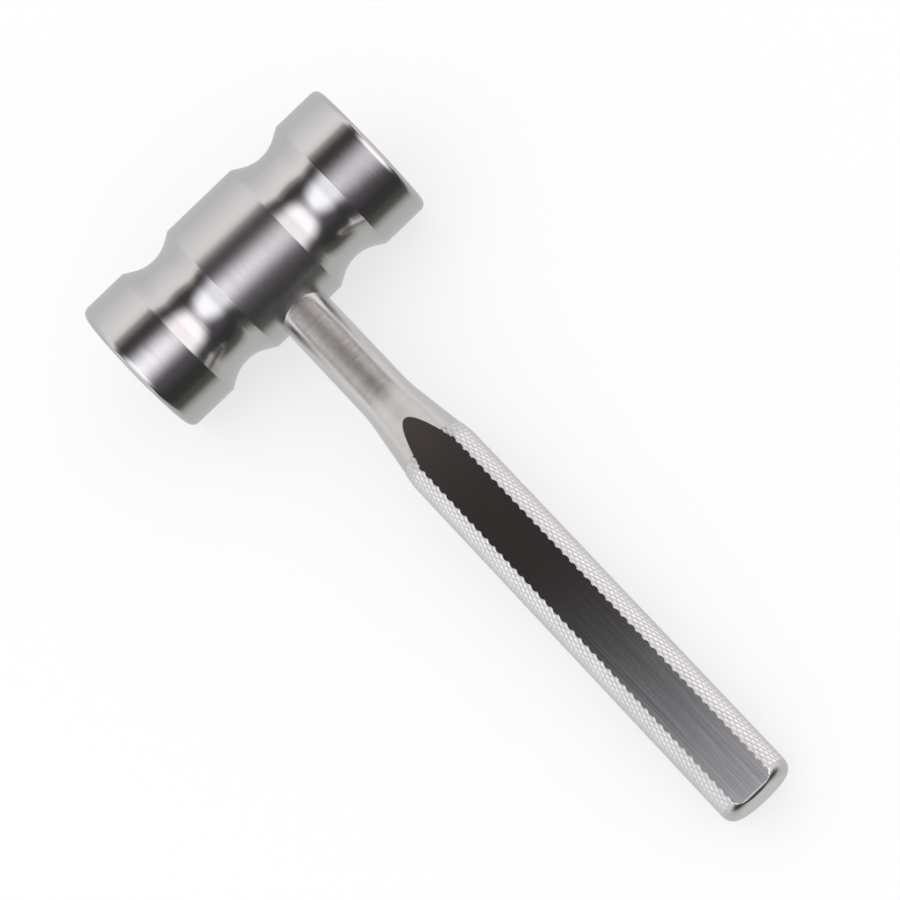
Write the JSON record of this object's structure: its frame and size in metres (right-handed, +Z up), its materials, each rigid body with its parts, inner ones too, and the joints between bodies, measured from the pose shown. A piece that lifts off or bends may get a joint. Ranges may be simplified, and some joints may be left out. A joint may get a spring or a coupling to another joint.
{
  "type": "surgical mallet",
  "caption": "Steel surgical mallet: a double-faced turned head with waists, on a straight round handle that flares to a knurled grip with flats.",
  "frame": {"origin": "on the surface that the mallet lies on, under the middle of its box", "axes": "+X along the head's axis, +Y from the end of the grip towards the head, +Z up"},
  "size_m": [0.0752, 0.1902, 0.037],
  "materials": {
    "head_steel": "fine turned satin, with smoother waists",
    "handle_steel": "polished stem, fine diamond knurl on the grip and flats brushed lengthwise"
  },
  "bodies": {
    "root": {"head": "head_steel", "handle": "handle_steel"}
  },
  "joints": []
}
